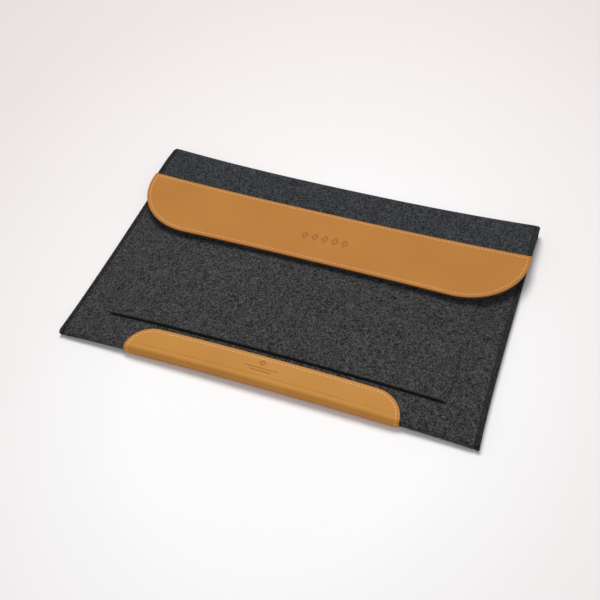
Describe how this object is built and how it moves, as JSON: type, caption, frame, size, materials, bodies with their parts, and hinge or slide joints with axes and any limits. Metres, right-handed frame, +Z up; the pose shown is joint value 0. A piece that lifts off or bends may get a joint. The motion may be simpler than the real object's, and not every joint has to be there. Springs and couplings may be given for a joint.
{
  "type": "tablet case",
  "caption": "Flat felt sleeve for a tablet with a fold-over flap, a leather band on the flap, a front pocket and a leather edge patch.",
  "frame": {"origin": "middle of the footprint, on the surface that the closed case lies on", "axes": "+X along the width, +Y from the leather-wrapped front edge to the fold of the flap, +Z up out of the front felt"},
  "size_m": [0.28, 0.1872, 0.0178],
  "materials": {
    "felt": "heathered charcoal wool felt, matte, 2.5 mm",
    "pocket_felt": "heathered charcoal wool felt, matte, 1.5 mm",
    "lining": "thin dark napped lining, matte",
    "leather": "tan vegetable-tanned cowhide, fine grain, satin",
    "leather_thread": "waxed cream polyester thread",
    "felt_thread": "matte black polyester thread",
    "magnet": "nickel-plated neodymium disc"
  },
  "bodies": {
    "root": {"back_panel": "felt", "bottom_fold": "felt", "front_panel": "felt", "pocket_panel": "pocket_felt", "bottom_patch": "leather", "body_magnet_left": "magnet", "body_magnet_right": "magnet", "patch_stitching": "leather_thread", "pocket_stitching": "felt_thread", "side_seam_left": "felt_thread", "side_seam_right": "felt_thread"},
    "spine": {"spine": "felt"},
    "flap": {"flap_panel": "felt", "flap_lining": "lining", "flap_band": "leather", "flap_magnet_left": "magnet", "flap_magnet_right": "magnet", "band_stitching": "leather_thread", "flap_seam_left": "felt_thread", "flap_seam_right": "felt_thread"}
  },
  "joints": [
    {"name": "spine_fold", "type": "hinge", "parent": "root", "child": "spine", "pos_m": [0, 0.0914, 0.0022], "axis": [-1, 0, 0], "range_deg": [0, 85.5]},
    {"name": "flap_fold", "type": "hinge", "parent": "spine", "child": "flap", "pos_m": [0, 0.0914, 0.0097], "axis": [-1, 0, 0], "range_deg": [0, 85.5]}
  ],
  "couplings": [
    {"joint": "spine_fold", "follows": "flap_fold", "ratio": 1}
  ]
}
